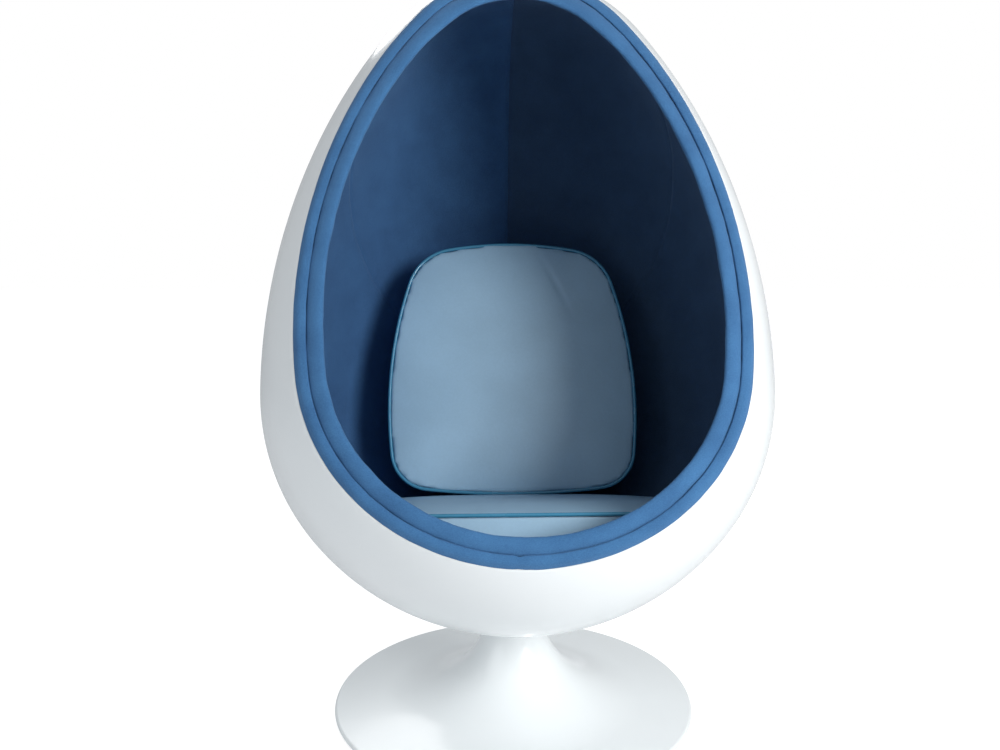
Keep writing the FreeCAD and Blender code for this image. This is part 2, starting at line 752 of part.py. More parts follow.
def make_pedestal():
    inner_flare = "flare_high_radius + pedestal_wall"
    inner_low = "flare_low_radius + pedestal_wall"
    slope_x = "(low_flare_x - flare_low_radius * sin(disc_slope))"
    slope_z = "(low_flare_z - flare_low_radius * cos(disc_slope))"
    edge_x = "(disc_radius - disc_edge_radius)"
    edge_z = "(%s - (%s - %s) * tan(disc_slope))" % (slope_z, edge_x, slope_x)
    corners = [
        ("neck_radius - pedestal_wall", "flare_top", ""),
        ("neck_radius - pedestal_wall", "neck_top", ""),
        ("neck_radius", "neck_top", ""),
        ("neck_radius", "flare_top", "flare_high_radius"),
        ("flare_join_x", "flare_join_z", "flare_low_radius"),
        (slope_x, slope_z, ""),
        (edge_x, edge_z, "-disc_edge_radius"),
        ("disc_radius", "%s - disc_edge_radius" % edge_z, ""),
        ("disc_radius", "foot_pad_thickness", ""),
        ("recess_radius", "foot_pad_thickness", ""),
        ("recess_radius", "plate_top", ""),
        ("ledge_radius", "plate_top", ""),
        ("ledge_radius", "low_flare_z - sqrt((%s)^2 - (low_flare_x - ledge_radius)^2)" % inner_low,
         "-" + inner_low),
        ("flare_x - (%s) * cos(flare_turn)" % inner_flare,
         "flare_top - (%s) * sin(flare_turn)" % inner_flare, "-" + inner_flare),
    ]
    body = turned("pedestal_form", corners)
    holes = rods_on_circle("pedestal_holes", "plate_screws", "plate_radius - plate_ledge / 2",
                           "plate_screw_radius", "plate_top", "plate_top + plate_screw_bite")
    keep(cut("pedestal_drilled", body, holes), "base_pedestal")


def countersunk(label, count, circle, radius, top, gap="0"):
    """Countersunk screws from below, or their holes when given a gap."""
    screws = []
    size = "%s + %s" % (radius, gap)
    for i in range(int(round(value(count)))):
        x, y = on_circle(i, count, circle)
        name = "%s_%d" % (label, i + 1)
        head = doc.addObject("Part::Cone", name + "_head")
        bind(head, "Radius1", "countersink_ratio * (%s)" % size)
        bind(head, "Radius2", size)
        bind(head, "Height", size)
        put(head, FLOOR, x, y, "foot_pad_thickness")
        shank = rod(name + "_shank", size, "foot_pad_thickness", top, x, y)
        screw = doc.addObject("Part::Fuse", name)
        screw.Base = head
        screw.Tool = shank
        screws.append(screw)
    return group(label, screws)


def make_base_parts():
    keep(rod("foot_pad_disc", "foot_pad_radius", "0", "foot_pad_thickness"), "base_foot_pad")
    screw_circle = "plate_radius - plate_ledge / 2"
    plate = rod("plate_disc", "plate_radius", "foot_pad_thickness", "plate_top")
    screw_holes = countersunk("plate_screw_holes", "plate_screws", screw_circle,
                              "plate_screw_radius", "plate_top", "hole_clearance")
    bolt_holes = countersunk("column_bolt_holes", "column_bolts", "column_bolt_circle",
                             "bolt_radius", "plate_top", "hole_clearance")
    holes = group("plate_holes", [screw_holes, bolt_holes])
    keep(cut("plate_drilled", plate, holes), "base_weight_plate")
    keep(countersunk("plate_screw_set", "plate_screws", screw_circle, "plate_screw_radius",
                     "plate_top + plate_screw_bite"), "plate_screws")
    flange_top = "plate_top + column_flange_thickness"
    column = turned("column_form", [
        ("column_bore", "plate_top", ""), ("column_flange_radius", "plate_top", ""),
        ("column_flange_radius", flange_top, ""), ("column_radius", flange_top, ""),
        ("column_radius", "column_top", ""), ("column_bore", "column_top", "")])
    taps = rods_on_circle("column_taps", "column_bolts", "column_bolt_circle", "bolt_radius",
                          "plate_top", flange_top)
    keep(cut("column_tapped", column, taps), "base_column")
    keep(countersunk("column_bolt_set", "column_bolts", "column_bolt_circle", "bolt_radius",
                     flange_top), "column_bolts")
    keep(tube("neck_ring_form", "column_radius", "neck_radius - pedestal_wall",
              "column_top - neck_ring_height", "column_top"), "neck_ring")


def make_bearing():
    bush_base = "column_top - upper_bush_length"
    keep(turned("upper_bush_form", [
        ("bush_bore", bush_base, ""), ("column_bore", bush_base, ""),
        ("column_bore", "column_top", ""), ("column_radius", "column_top", ""),
        ("column_radius", "thrust_base", ""), ("bush_bore", "thrust_base", "")]), "upper_bush")
    low = "spindle_foot + axial_play"
    keep(tube("lower_bush_form", "bush_bore", "column_bore", low, low + " + lower_bush_length"),
         "lower_bush")
    keep(tube("thrust_washer_form", "bush_bore", "thrust_radius", "thrust_base",
              "swivel_plate_base"), "thrust_washer")


def socket_bolt(label, x, y, seat, tip, up):
    """Socket head bolt; up is 1 with its head on top and -1 with it below."""
    head_end = "%s + %d * bolt_head_height" % (seat, up)
    low, high = (seat, head_end) if up > 0 else (head_end, seat)
    head = rod(label + "_head", "bolt_head_radius", low, high, x, y)
    low, high = (tip, seat) if up > 0 else (seat, tip)
    shank = rod(label + "_shank", "bolt_radius", low, high, x, y)
    whole = doc.addObject("Part::Fuse", label + "_blank")
    whole.Base = head
    whole.Tool = shank
    key = doc.addObject("Part::Prism", label + "_key")
    key.Polygon = 6
    bind(key, "Circumradius", "bolt_socket")
    bind(key, "Height", "bolt_socket_depth")
    put(key, FLOOR, x, y, head_end + (" - bolt_socket_depth" if up > 0 else ""))
    return cut(label, whole, key)


def make_spindle():
    plate = tube("swivel_plate_disc", "spindle_radius", "swivel_plate_radius",
                 "swivel_plate_base", "swivel_plate_top")
    taps = rods_on_circle("swivel_taps", "pod_bolts", "pod_bolt_circle", "bolt_radius",
                          "swivel_plate_top - plate_bolt_bite", "swivel_plate_top")
    keep(cut("swivel_plate_tapped", plate, taps), "swivel_plate")
    shaft = rod("spindle_bar", "spindle_radius", "spindle_foot", "swivel_plate_top")
    bore_top = "spindle_foot + retainer_bolt_bite"
    bore = rod("spindle_bore", "bolt_radius", "spindle_foot", bore_top)
    keep(cut("spindle_bored", shaft, bore), "spindle")
    seat = "spindle_foot - retainer_thickness"
    keep(tube("retainer_form", "bolt_radius", "retainer_radius", seat, "spindle_foot"),
         "retaining_washer")
    keep(socket_bolt("retaining_bolt_form", "0", "0", seat, bore_top, -1), "retaining_bolt")


def make_pod_mounting():
    clear = "bolt_radius + hole_clearance"
    outside = egg_solid("egg_outside", "0")
    within = egg_solid("egg_within", "shell_wall")
    pillar = rod("saddle_pillar", "saddle_radius", "swivel_plate_top", "block_top")
    saddle_holes = rods_on_circle("saddle_holes", "pod_bolts", "pod_bolt_circle", clear,
                                  "0", "block_top")
    keep(cut("saddle_drilled", cut("saddle_shaped", pillar, outside), saddle_holes), "pod_saddle")
    puck = rod("block_puck", "block_radius", "neck_top", "block_top")
    block_holes = rods_on_circle("block_holes", "pod_bolts", "pod_bolt_circle", clear,
                                 "0", "block_top")
    keep(cut("block_drilled", common("block_shaped", puck, within), block_holes),
         "backing_block")
    disc = rod("backing_disc", "backing_plate_radius", "block_top", "backing_plate_top")
    plate_holes = rods_on_circle("backing_holes", "pod_bolts", "pod_bolt_circle", clear,
                                 "block_top", "backing_plate_top")
    keep(cut("backing_drilled", disc, plate_holes), "backing_plate")
    washers = []
    bolts = []
    tip = "swivel_plate_top - plate_bolt_bite"
    for i in range(int(round(value("pod_bolts")))):
        x, y = on_circle(i, "pod_bolts", "pod_bolt_circle")
        disc = rod("washer_disc_%d" % (i + 1), "washer_radius", "backing_plate_top",
                   "pod_bolt_seat", x, y)
        hole = rod("washer_hole_%d" % (i + 1), clear, "backing_plate_top", "pod_bolt_seat", x, y)
        washers.append(cut("washer_%d" % (i + 1), disc, hole))
        bolts.append(socket_bolt("pod_bolt_%d" % (i + 1), x, y, "pod_bolt_seat", tip, 1))
    keep(group("washer_set", washers), "pod_washers")
    keep(group("pod_bolt_set", bolts), "pod_bolts")


def check_and_export():
    doc.recompute()
    for thing in doc.Objects:
        if "Invalid" in thing.State or "Error" in thing.State:
            raise RuntimeError("%s did not build: %s" % (thing.Name, thing.State))
    os.makedirs("parts", exist_ok=True)
    for node in nodes:
        shape = node.Shape
        if shape.isNull() or not shape.isValid() or not shape.Solids:
            raise RuntimeError("%s is not a sound solid" % node.Label)
    for node in nodes:
        node.Shape.exportStep("parts/%s.step" % node.Label)
        print("%-20s %d solid(s), %.1f cm3" % (
            node.Label, len(node.Shape.Solids), node.Shape.Volume / 1000))


fill_sheet()
make_pedestal()
make_base_parts()
make_bearing()
make_spindle()
make_pod_mounting()
make_shell()
make_liner()
make_lining()
make_rim()
make_seat_base()
make_seat_cushion()
make_back_cushion()
check_and_export()
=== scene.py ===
# %% [markdown]
# # Dressing a pod chair
# The chair is an egg-shaped shell on a trumpet foot, with a felt lining, a
# padded rim and two loose cushions. The solids come from the construction
# model. Here every surface that shows gets its real form and finish, in the
# same frame: metres, the floor at zero, the swivel on the Z axis and the
# opening towards -Y.

import json
import math

import bpy
import numpy as np
from mathutils import Matrix, Vector, noise

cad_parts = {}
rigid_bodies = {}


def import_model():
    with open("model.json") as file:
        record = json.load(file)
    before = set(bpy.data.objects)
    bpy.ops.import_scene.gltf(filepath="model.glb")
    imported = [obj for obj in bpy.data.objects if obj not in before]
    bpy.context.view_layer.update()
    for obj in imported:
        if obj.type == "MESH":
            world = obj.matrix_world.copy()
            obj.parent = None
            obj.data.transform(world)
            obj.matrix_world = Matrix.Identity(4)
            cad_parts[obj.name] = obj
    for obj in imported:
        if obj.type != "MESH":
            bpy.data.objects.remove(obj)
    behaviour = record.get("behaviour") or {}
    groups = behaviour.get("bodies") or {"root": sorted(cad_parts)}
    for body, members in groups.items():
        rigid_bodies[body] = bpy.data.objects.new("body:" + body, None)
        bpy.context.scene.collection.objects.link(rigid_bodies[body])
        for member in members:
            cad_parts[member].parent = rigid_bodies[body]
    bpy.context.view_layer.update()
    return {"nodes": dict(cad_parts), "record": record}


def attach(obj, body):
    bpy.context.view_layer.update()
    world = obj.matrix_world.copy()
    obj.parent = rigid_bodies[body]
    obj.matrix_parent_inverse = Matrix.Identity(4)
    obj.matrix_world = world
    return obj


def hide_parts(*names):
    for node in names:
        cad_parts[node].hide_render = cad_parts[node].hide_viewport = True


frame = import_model()

# %% [markdown]
# ## Where things lie
# The pod leans back, its opening leans back further, and each cushion has a
# slope of its own. A matrix for each of them lets a piece be drawn square and
# upright first and then put in place. X is across, Y goes into the pod and Z
# goes up along the piece.

# %% Tilted frames


def tilted(depth, height, degrees):
    turn = Matrix.Rotation(-math.radians(degrees), 4, "X")
    return Matrix.Translation((0, depth, height)) @ turn


POD = tilted(-0.090, 0.611, 18)
OPENING = POD @ Matrix.Translation((0, -0.272, 0)) @ Matrix.Rotation(-math.radians(8.8), 4, "X")
SEAT = tilted(-0.365, 0.490, 15)
BACK = tilted(0.002, 0.4075, 24.9 - 90)
print("opening starts at", [round(x, 4) for x in OPENING.translation])

# %% [markdown]
# ## The egg's profile
# Shell, lining and rim all follow one egg, turned about the pod's own axis.
# Its profile is four arcs that meet without a kink. Set in by a wall's
# thickness, the same arcs give every inner layer.

# %% Egg profile
WIDEST = 0.425
TIP_RISE = 0.432
TIP_BALL = 0.285
BOWL_DEPTH = 0.401
LOW_FLANK = 0.380
HIGH_FLANK = (WIDEST**2 + TIP_RISE**2 - TIP_BALL**2) / (2 * (WIDEST - TIP_BALL))
FLANK_STEP = WIDEST - LOW_FLANK
DEPTH_STEP = BOWL_DEPTH - LOW_FLANK
BOWL_CENTRE = (FLANK_STEP**2 - DEPTH_STEP**2) / (2 * DEPTH_STEP)
BOWL_BALL = BOWL_DEPTH + BOWL_CENTRE


def egg_radius(up, inset=0.0):
    """Distance from the pod's axis to the wall, at a height along the axis."""
    up = np.asarray(up, float)

    def arc(radius, centre, shift=0.0):
        return np.sqrt(np.maximum(0, radius**2 - (up - centre) ** 2)) + shift

    high_join = (HIGH_FLANK - inset) * TIP_RISE / math.hypot(TIP_RISE, HIGH_FLANK - WIDEST)
    low_join = -(LOW_FLANK - inset) * BOWL_CENTRE / math.hypot(BOWL_CENTRE, FLANK_STEP)
    tip = arc(TIP_BALL - inset, TIP_RISE)
    high = arc(HIGH_FLANK - inset, 0, WIDEST - HIGH_FLANK)
    low = arc(LOW_FLANK - inset, 0, FLANK_STEP)
    bowl = arc(BOWL_BALL - inset, BOWL_CENTRE)
    return np.where(up > high_join, tip,
                    np.where(up >= 0, high, np.where(up >= low_join, low, bowl)))


def egg_profile(inset, rows):
    """Radius and height from the tip to the foot, evenly spaced along the wall."""
    top = TIP_RISE + TIP_BALL - inset
    foot = inset - BOWL_DEPTH
    turn = np.linspace(0, math.pi, 4000)
    up = (top + foot) / 2 + (top - foot) / 2 * np.cos(turn)
    out = egg_radius(up, inset)
    run = np.r_[0, np.cumsum(np.hypot(np.diff(out), np.diff(up)))]
    even = np.linspace(0, run[-1], rows + 1)
    return np.interp(even, run, out), np.interp(even, run, up)


print("widest", float(egg_radius(0)), "tip ball centre", TIP_RISE)

# %% [markdown]
# ## Working by hand, in code
# An operator acts on whatever is selected, so each step first selects one
# piece and nothing else. A piece is started from the primitive that already
# has the right build: a sphere for a closed form, a torus for a closed ring.
# Its rows of points are then slid to where the real piece has them.

# %% Hand tools
AROUND = 2 * math.pi


def take(obj):
    """Select one object, and only that one."""
    if bpy.context.mode != "OBJECT":
        bpy.ops.object.mode_set(mode="OBJECT")
    bpy.ops.object.select_all(action="DESELECT")
    obj.select_set(True)
    bpy.context.view_layer.objects.active = obj
    return obj


def name_new(name):
    obj = bpy.context.object
    obj.name = name
    obj.data.name = name
    return obj


def in_edit(obj, *steps):
    """Run edit-mode steps on the whole of a piece."""
    take(obj)
    bpy.ops.object.mode_set(mode="EDIT")
    bpy.ops.mesh.select_all(action="SELECT")
    for step in steps:
        step()
    bpy.ops.object.mode_set(mode="OBJECT")
    return obj


def face_out(obj):
    return in_edit(obj, lambda: bpy.ops.mesh.remove_doubles(threshold=1e-6),
                   lambda: bpy.ops.mesh.normals_make_consistent(inside=False))


def cut_at(obj, place, normal, keep="both"):
    """Cut through a piece; keep both sides, or the one ahead of the normal."""
    in_edit(obj, lambda: bpy.ops.mesh.bisect(
        plane_co=place, plane_no=normal, clear_inner=keep == "ahead"))
    return obj


def pick_faces(obj, test):
    """Select the faces whose middle passes a test, ready for edit mode."""
    take(obj)
    for part in (obj.data.vertices, obj.data.edges, obj.data.polygons):
        part.foreach_set("select", np.zeros(len(part), bool))
    for face in obj.data.polygons:
        face.select = bool(test(face.center))


def finish_with(obj, kind, **settings):
    """Add a modifier with these settings and apply it."""
    take(obj)
    modifier = obj.modifiers.new(kind.lower(), kind)
    for name, value in settings.items():
        setattr(modifier, name, value)
    bpy.ops.object.modifier_apply(modifier=modifier.name)
    return obj


def smooth(obj, degrees=40):
    take(obj)
    bpy.ops.object.shade_smooth_by_angle(angle=math.radians(degrees))
    return obj


def points_of(obj):
    flat = np.empty(len(obj.data.vertices) * 3)
    obj.data.vertices.foreach_get("co", flat)
    return flat.reshape(-1, 3)


def set_points(obj, points):
    obj.data.vertices.foreach_set("co", np.asarray(points, float).ravel())
    obj.data.update()


def carried(matrix, points):
    """Points carried by a matrix."""
    m = np.array(matrix)
    return np.asarray(points, float) @ m[:3, :3].T + m[:3, 3]


def evenly(points, count, closed=True):
    """The same line with evenly spaced points."""
    line = np.asarray(points, float)
    if closed:
        line = np.vstack([line, line[:1]])
    run = np.r_[0, np.cumsum(np.linalg.norm(np.diff(line, axis=0), axis=1))]
    even = np.linspace(0, run[-1], count + 1 if closed else count)
    if closed:
        even = even[:-1]
    return np.stack([np.interp(even, run, line[:, k]) for k in range(line.shape[1])], 1)


# %% Spheres and tori put into form


def ball_form(name, rows, segments, place):
    """Sphere whose row and segment numbers are given their own places."""
    bpy.ops.mesh.primitive_uv_sphere_add(segments=segments, ring_count=rows, radius=1)
    obj = name_new(name)
    points = points_of(obj)
    row = np.rint(np.arccos(np.clip(points[:, 2], -1, 1)) / math.pi * rows).astype(int)
    turn = np.rint(np.arctan2(points[:, 1], points[:, 0]) / AROUND * segments).astype(int)
    set_points(obj, place[row, turn % segments])
    return face_out(obj)


def ring_form(name, place):
    """Torus whose stations and section points are given their own places."""
    stations, across = place.shape[:2]
    bpy.ops.mesh.primitive_torus_add(major_segments=stations, minor_segments=across,
                                     major_radius=1, minor_radius=0.25)
    obj = name_new(name)
    points = points_of(obj)
    out = np.hypot(points[:, 0], points[:, 1]) - 1
    station = np.rint(np.arctan2(points[:, 1], points[:, 0]) / AROUND * stations).astype(int)
    step = np.rint(np.arctan2(points[:, 2], out) / AROUND * across).astype(int)
    set_points(obj, place[station % stations, step % across])
    return face_out(obj)


def egg_form(name, inset, rows, segments):
    out, up = egg_profile(inset, rows)
    turn = np.arange(segments) * AROUND / segments
    place = np.zeros((rows + 1, segments, 3))
    place[..., 0] = out[:, None] * np.cos(turn)
    place[..., 1] = out[:, None] * np.sin(turn)
    place[..., 2] = up[:, None]
    return ball_form(name, rows, segments, carried(POD, place.reshape(-1, 3)).reshape(place.shape))


def egg_line(plane, inset, count):
    """Closed line where a plane, its local XY, meets the egg wall."""
    turn = np.arange(count) * AROUND / count
    along = np.stack([np.cos(turn), np.sin(turn), 0 * turn], 1)
    near, far = np.zeros(count), np.full(count, 1.2)
    within = np.array(POD.inverted() @ plane)
    for _ in range(44):
        reach = (near + far) / 2
        spot = (along * reach[:, None]) @ within[:3, :3].T + within[:3, 3]
        outside = np.hypot(spot[:, 0], spot[:, 1]) > egg_radius(spot[:, 2], inset)
        far = np.where(outside, reach, far)
        near = np.where(outside, near, reach)
    return carried(plane, along * near[:, None])


def opening_plane(depth):
    """Plane at a depth behind the opening, about the middle of the opening."""
    middle = Matrix.Translation((0, depth, 0.06))
    return OPENING @ middle @ Matrix.Rotation(math.radians(90), 4, "X")


rim_line = egg_line(opening_plane(0), 0, 360)
print("opening", np.ptp(rim_line[:, 0]).round(4), "wide,", np.ptp(rim_line[:, 2]).round(4), "high")

# %% [markdown]
# ## The shell
# The real shell is laid up in a mould in one piece and polished, so its
# outside is one flowing surface with a high gloss. The egg form is cut off
# behind the opening, given the thickness of the laminate and left with a
# small radius on its trimmed edge.

# %% Shell
shell = egg_form("shell", 0, 150, 192)
INTO = OPENING.to_3x3() @ Vector((0, 1, 0))
LAMINATE = 0.005
BAND_DEEP = 0.009
cut_at(shell, OPENING @ Vector((0, BAND_DEEP, 0)), INTO, "ahead")
finish_with(shell, "SOLIDIFY", thickness=LAMINATE, offset=-1)
finish_with(shell, "BEVEL", width=0.0008, segments=2, limit_method="ANGLE")
smooth(shell)
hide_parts("pod_shell")
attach(shell, "pod")
print("shell faces", len(shell.data.polygons))

# %% [markdown]
# ## The foot
# Disc, flare and neck are one moulding too. A line drawn round the section is
# spun about the swivel axis, which is how the shape was first turned for its
# mould.

# %% Foot


def bend(centre, radius, first, last, steps):
    """Arc as a list of points, its ends in degrees."""
    turn = np.radians(np.linspace(first, last, steps))
    return np.stack([centre[0] + radius * np.cos(turn), centre[1] + radius * np.sin(turn)], 1)


def spun(name, section, steps):
    """Close a section in XZ, with one edge line, and spin it about Z."""
    bpy.ops.mesh.primitive_circle_add(vertices=len(section), radius=1)
    obj = name_new(name)
    set_points(obj, np.stack([section[:, 0], 0 * section[:, 0], section[:, 1]], 1))
    in_edit(obj, lambda: bpy.ops.mesh.spin(
        steps=steps, angle=AROUND, center=(0, 0, 0), axis=(0, 0, 1)))
    return face_out(obj)


NECK = 0.052
HIGH_BALL = 0.158
LOW_BALL = 0.240
FLARE_TURN = 55.4
FLARE_TOP = 0.188
DISC = 0.333
DISC_SLOPE = 4.0
DISC_EDGE = 0.005
WALL = 0.005
high_centre = np.array([NECK + HIGH_BALL, FLARE_TOP])
join = high_centre - HIGH_BALL * np.array([math.cos(math.radians(FLARE_TURN)),
                                           math.sin(math.radians(FLARE_TURN))])
low_centre = join + LOW_BALL * np.array([math.cos(math.radians(FLARE_TURN)),
                                         math.sin(math.radians(FLARE_TURN))])
slope_start = low_centre - LOW_BALL * np.array([math.sin(math.radians(DISC_SLOPE)),
                                                math.cos(math.radians(DISC_SLOPE))])
edge_x = DISC - DISC_EDGE
edge_z = slope_start[1] - (edge_x - slope_start[0]) * math.tan(math.radians(DISC_SLOPE))
high_turn = 180 + FLARE_TURN
low_turn = 270 - DISC_SLOPE
outside = np.vstack([
    bend((NECK - 0.0015, 0.192 - 0.0015), 0.0015, 90, 0, 5),
    bend(high_centre, HIGH_BALL, 180, high_turn, 40),
    bend(low_centre, LOW_BALL, high_turn, low_turn, 26)[1:],
    np.linspace(slope_start, (edge_x, edge_z), 16)[1:],
    bend((edge_x, edge_z - DISC_EDGE), DISC_EDGE, 90 - DISC_SLOPE, 0, 8),
])
underside = np.vstack([
    bend((DISC - 0.001, 0.004), 0.001, 0, -90, 3),
    [(0.231, 0.003), (0.231, 0.011), (0.201, 0.011)],
    bend(low_centre, LOW_BALL + WALL, 262, high_turn, 18),
    bend(high_centre, HIGH_BALL + WALL, high_turn, 180, 26)[1:],
    [(NECK - WALL, 0.192)],
])
foot = spun("foot", np.vstack([outside, underside]), 160)
smooth(foot)
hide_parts("base_pedestal")
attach(foot, "base")
print("foot faces", len(foot.data.polygons))

# %% [markdown]
# ## The padded rim
# Two fabric-covered parts run round the opening. A narrow band caps the edge
# of the shell, and beside it lies a fat foam roll that hides the edge of the
# lining. Between them the covers are pulled down into a narrow valley. Both
# are closed rings, so each starts as a torus, and its section is drawn from
# how far each point lies in from the shell's face and behind the opening.

# %% Rim section tools
STATIONS = 256


def rim_ring(name, section):
    """Ring that follows the opening, from (inset, depth) points of its section."""
    lines = [egg_line(opening_plane(depth), inset, STATIONS) for inset, depth in section]
    return ring_form(name, np.stack(lines, 1))


def pillow_section(near, far, front, back, near_round, far_round, back_round, count):
    """Section with its own rounding, wide by deep, at each side of its nose."""

    def corner(side, rounding, first):
        way = 1 if side == near else -1
        centre = np.array([side + way * rounding[0], front + rounding[1]])
        return centre + bend((0, 0), 1, first, first + 90, 16) * rounding

    line = np.vstack([
        corner(near, near_round, 180),
        corner(far, far_round, 270),
        bend((far - back_round, back - back_round), back_round, 0, 90, 6),
        bend((near + back_round, back - back_round), back_round, 90, 180, 6),
    ])
    return evenly(line, count)


def ripple(points, size, length, seed):
    """Soft unevenness of hand-pulled cover, the same on every run."""
    shift = Vector((seed, 0, 0))
    return np.array([noise.noise(Vector(p) / length + shift) for p in points]) * size


def swell(obj, amount):
    """Move each point along its normal by its own amount."""
    normals = np.empty(len(obj.data.vertices) * 3)
    obj.data.vertices.foreach_get("normal", normals)
    set_points(obj, points_of(obj) + normals.reshape(-1, 3) * np.asarray(amount)[:, None])
    return obj


# %% Edge band
BAND_JOIN = -0.015
band = rim_ring("rim_band", pillow_section(
    near=0.0, far=0.0119, front=-0.0012, back=0.009, near_round=(0.0040, 0.0042),
    far_round=(0.0050, 0.0055), back_round=0.0010, count=36))
spots = points_of(band)
near_join = np.exp(-((spots[:, 0] - BAND_JOIN) / 0.0016) ** 2) * (spots[:, 2] < 0.6)
swell(band, ripple(spots, 0.0007, 0.02, 3) - 0.0026 * near_join)
smooth(band, 60)
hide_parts("rim_edge_band")
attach(band, "pod")

# %% Roll
roll = rim_ring("rim_roll", pillow_section(
    near=0.0121, far=0.0307, front=-0.0078, back=0.040, near_round=(0.0075, 0.0080),
    far_round=(0.0105, 0.0170), back_round=0.003, count=56))
spots = points_of(roll)
swell(roll, ripple(spots, 0.0012, 0.035, 7) + ripple(spots, 0.0005, 0.009, 11))
smooth(roll, 60)
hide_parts("rim_roll_cover", "rim_roll_foam")
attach(roll, "pod")
print("band", len(band.data.polygons), "roll", len(roll.data.polygons))

# %% [markdown]
# ## The felt lining
# Four pieces of felt are glued over foam. They meet at a seam down the middle
# of the back and at a seam that slants across each side. At a seam the felt
# turns in towards the foam, which draws a soft dark line. The lining is cut
# with extra loops beside each seam, so that there is enough mesh to turn in.

# %% Lining
INNER_FACE = 0.0295
FELT = 0.0025
SEAM_TURN_IN = 0.0022
lining = egg_form("lining", INNER_FACE, 120, 160)
cut_at(lining, OPENING @ Vector((0, 0.0395, 0)), INTO, "ahead")
slant = POD.to_3x3() @ Vector((0, 1, 1)).normalized()
slant_place = POD @ Vector((0, 0.25, 0.25))
for step in (-0.012, -0.007, -0.004, -0.002, 0, 0.002, 0.004, 0.007, 0.012):
    cut_at(lining, (step, 0, 0), (1, 0, 0))
    cut_at(lining, slant_place + slant * step, slant)
spots = points_of(lining)
across = np.abs(spots[:, 0])
beyond = np.abs((spots - np.array(slant_place)) @ np.array(slant))
behind = spots[:, 2] > 0.35
seam = np.exp(-(across / 0.0032) ** 2) * behind + np.exp(-(beyond / 0.0030) ** 2)
cushioned = np.exp(-((across - 0.010) / 0.006) ** 2) * behind
swell(lining, SEAM_TURN_IN * np.minimum(seam, 1) - 0.0006 * cushioned
      + ripple(spots, 0.0014, 0.07, 17))
pick_faces(lining, lambda c: math.hypot(c.x, c.y) < 0.085 and c.z < 0.45)
bpy.ops.object.mode_set(mode="EDIT")
bpy.ops.mesh.delete(type="FACE")
bpy.ops.object.mode_set(mode="OBJECT")

# %% Part the lining into its four pieces


def part_off(obj, name, test):
    """Take the faces that pass a test off as a piece of their own."""
    pick_faces(obj, test)
    before = set(bpy.data.objects)
    bpy.ops.object.mode_set(mode="EDIT")
    bpy.ops.mesh.separate(type="SELECTED")
    bpy.ops.object.mode_set(mode="OBJECT")
    new = (set(bpy.data.objects) - before).pop()
    new.name = name
    new.data.name = name
    return new


felts = {}
for level, upper in (("upper", True), ("lower", False)):
    for side, sign in (("left", -1), ("right", 1)):
        name = "lining_" + level + "_" + side

        def belongs(c):
            return ((c - slant_place).dot(slant) > 0) == upper and c.x * sign > 0

        felts[name] = part_off(lining, "felt_" + level + "_" + side, belongs)
bpy.data.objects.remove(lining)
for name, felt in felts.items():
    finish_with(felt, "SOLIDIFY", thickness=FELT, offset=1)
    smooth(felt, 50)
    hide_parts(name)
    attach(felt, "pod")
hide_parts("foam_liner")
print("felt pieces", {n: len(f.data.polygons) for n, f in felts.items()})

# %% [markdown]
# ## The seat base
# Firm foam fills the bowl level, with felt on top, so that the seat cushion
# has something flat to lie on. It only shows when the cushion is lifted. Its
# edge follows the lining all round.

# %% Seat base
base_line = egg_line(SEAT @ Matrix.Translation((0, 0.25, -0.0855)), 0.0302, 120)
bpy.ops.mesh.primitive_circle_add(vertices=120, radius=1, fill_type="NGON")
seat_base = name_new("seat_base")
set_points(seat_base, base_line)
down = SEAT.to_3x3() @ Vector((0, 0, -1))
in_edit(seat_base,
        lambda: bpy.ops.mesh.extrude_region_move(
            TRANSFORM_OT_translate={"value": down * 0.006}),
        lambda: bpy.ops.mesh.select_all(action="SELECT"),
        lambda: bpy.ops.mesh.normals_make_consistent(inside=False))
finish_with(seat_base, "BEVEL", width=0.0015, segments=3, limit_method="ANGLE")
smooth(seat_base)
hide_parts("seat_base_felt", "seat_base_foam")
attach(seat_base, "pod")

# %% [markdown]
# ## Cushions
# Both cushions are boxed: a top and a bottom panel, joined by a strip, with a
# cord sewn into the seam. The form is drawn a little lean, given an even mesh
# and blown up as cloth while its seams are held, which is what foam does to a
# tight cover. The cord comes after that, because the even mesh would lose it.

# %% Outlines


def mirrored(right_half):
    """Whole outline from its right half, which starts and ends in the middle."""
    return np.vstack([right_half, (right_half * [-1, 1])[::-1][1:-1]])


def seat_outline(radius, setback, grow=0.0):
    """Round back, straight front and rounded front corners."""
    corner = 0.060
    centre = 0.230
    side = math.sqrt((radius - corner) ** 2 - (centre - corner - setback) ** 2)
    middle = (side, setback + corner)
    turn = math.degrees(math.atan2(middle[1] - centre, side))
    half = np.vstack([
        [(0, setback - grow)],
        bend(middle, corner + grow, -90, turn, 14),
        bend((0, centre), radius + grow, turn, 90, 60),
    ])
    return evenly(mirrored(half), 200)


